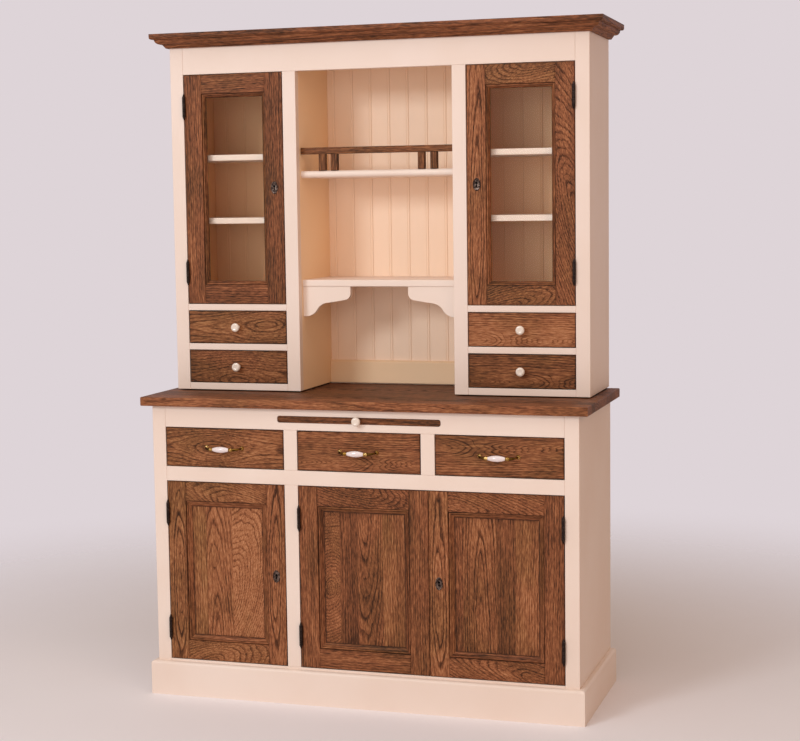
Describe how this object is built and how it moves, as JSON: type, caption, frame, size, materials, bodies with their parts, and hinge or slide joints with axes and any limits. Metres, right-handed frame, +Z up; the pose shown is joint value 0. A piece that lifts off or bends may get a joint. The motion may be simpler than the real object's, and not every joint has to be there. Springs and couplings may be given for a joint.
{
  "type": "dresser with hutch",
  "caption": "Two-part dresser: drawers, pull-out board and panelled cupboards below, a hutch with glazed cupboards, small drawers and an open shelved bay above.",
  "frame": {"origin": "on the floor at the middle of the footprint's bounding box", "axes": "+X to the right seen from the front, +Y to the back, +Z up"},
  "size_m": [1.397, 0.515, 2.007],
  "materials": {
    "cream_paint": "cream satin paint on solid wood",
    "oak": "brushed oak, stained mid brown, satin",
    "inner_board": "cream paint, plain inside surfaces",
    "pane": "clear float glass",
    "black_iron": "black, slightly worn",
    "antique_brass": "dark antique brass",
    "porcelain": "white gloss glaze",
    "pad": "dark matt"
  },
  "bodies": {
    "root": {"base_sides": "cream_paint", "base_back": "inner_board", "base_partitions": "inner_board", "base_decks": "inner_board", "base_floor_and_shelves": "inner_board", "base_guides": "inner_board", "base_frame_uprights": "cream_paint", "base_top_rail": "cream_paint", "base_frame_rails": "cream_paint", "plinth": "cream_paint", "worktop": "oak", "hutch_sides": "cream_paint", "hutch_dividers": "cream_paint", "hutch_top": "cream_paint", "hutch_drawer_decks": "inner_board", "hutch_back_boards": "cream_paint", "hutch_frame_uprights": "cream_paint", "hutch_frame_rails": "cream_paint", "hutch_pads": "pad", "tower_shelves": "cream_paint", "bay_shelves": "cream_paint", "plate_gallery": "oak", "shelf_brackets": "cream_paint", "bay_ledge": "cream_paint", "cornice": "oak", "frame_hinges": "black_iron"},
    "left_drawer": {"left_drawer": "oak", "left_handle_brass": "antique_brass", "left_handle_grip": "porcelain"},
    "middle_drawer": {"middle_drawer": "oak", "middle_handle_brass": "antique_brass", "middle_handle_grip": "porcelain"},
    "right_drawer": {"right_drawer": "oak", "right_handle_brass": "antique_brass", "right_handle_grip": "porcelain"},
    "upper_left_drawer": {"upper_left_drawer": "oak", "upper_left_knob": "porcelain"},
    "upper_right_drawer": {"upper_right_drawer": "oak", "upper_right_knob": "porcelain"},
    "lower_left_drawer": {"lower_left_drawer": "oak", "lower_left_knob": "porcelain"},
    "lower_right_drawer": {"lower_right_drawer": "oak", "lower_right_knob": "porcelain"},
    "pull_out_board": {"pull_out_board": "oak", "board_knob": "porcelain"},
    "left_cupboard_door": {"left_cupboard_door_frame": "oak", "left_cupboard_door_panel": "oak", "left_cupboard_door_ironwork": "black_iron"},
    "middle_cupboard_door": {"middle_cupboard_door_frame": "oak", "middle_cupboard_door_panel": "oak", "middle_cupboard_door_ironwork": "black_iron"},
    "right_cupboard_door": {"right_cupboard_door_frame": "oak", "right_cupboard_door_panel": "oak", "right_cupboard_door_ironwork": "black_iron"},
    "left_glass_door": {"left_glass_door_frame": "oak", "left_glass_door_glass": "pane", "left_glass_door_ironwork": "black_iron"},
    "right_glass_door": {"right_glass_door_frame": "oak", "right_glass_door_glass": "pane", "right_glass_door_ironwork": "black_iron"}
  },
  "joints": [
    {"name": "left_drawer_slide", "type": "slide", "parent": "root", "child": "left_drawer", "axis": [0, -1, 0], "range_m": [0, 0.3]},
    {"name": "middle_drawer_slide", "type": "slide", "parent": "root", "child": "middle_drawer", "axis": [0, -1, 0], "range_m": [0, 0.3]},
    {"name": "right_drawer_slide", "type": "slide", "parent": "root", "child": "right_drawer", "axis": [0, -1, 0], "range_m": [0, 0.3]},
    {"name": "upper_left_drawer_slide", "type": "slide", "parent": "root", "child": "upper_left_drawer", "axis": [0, -1, 0], "range_m": [0, 0.17]},
    {"name": "upper_right_drawer_slide", "type": "slide", "parent": "root", "child": "upper_right_drawer", "axis": [0, -1, 0], "range_m": [0, 0.17]},
    {"name": "lower_left_drawer_slide", "type": "slide", "parent": "root", "child": "lower_left_drawer", "axis": [0, -1, 0], "range_m": [0, 0.17]},
    {"name": "lower_right_drawer_slide", "type": "slide", "parent": "root", "child": "lower_right_drawer", "axis": [0, -1, 0], "range_m": [0, 0.17]},
    {"name": "pull_out_board_slide", "type": "slide", "parent": "root", "child": "pull_out_board", "axis": [0, -1, 0], "range_m": [0, 0.3]},
    {"name": "left_cupboard_door_hinge", "type": "hinge", "parent": "root", "child": "left_cupboard_door", "pos_m": [-0.6095, -0.226, 0], "axis": [0, 0, -1], "range_deg": [0, 170]},
    {"name": "middle_cupboard_door_hinge", "type": "hinge", "parent": "root", "child": "middle_cupboard_door", "pos_m": [-0.18683, -0.226, 0], "axis": [0, 0, -1], "range_deg": [0, 170]},
    {"name": "right_cupboard_door_hinge", "type": "hinge", "parent": "root", "child": "right_cupboard_door", "pos_m": [0.6095, -0.226, 0], "axis": [0, 0, 1], "range_deg": [0, 170]},
    {"name": "left_glass_door_hinge", "type": "hinge", "parent": "root", "child": "left_glass_door", "pos_m": [-0.606, -0.044, 0], "axis": [0, 0, -1], "range_deg": [0, 170]},
    {"name": "right_glass_door_hinge", "type": "hinge", "parent": "root", "child": "right_glass_door", "pos_m": [0.606, -0.044, 0], "axis": [0, 0, 1], "range_deg": [0, 170]}
  ]
}
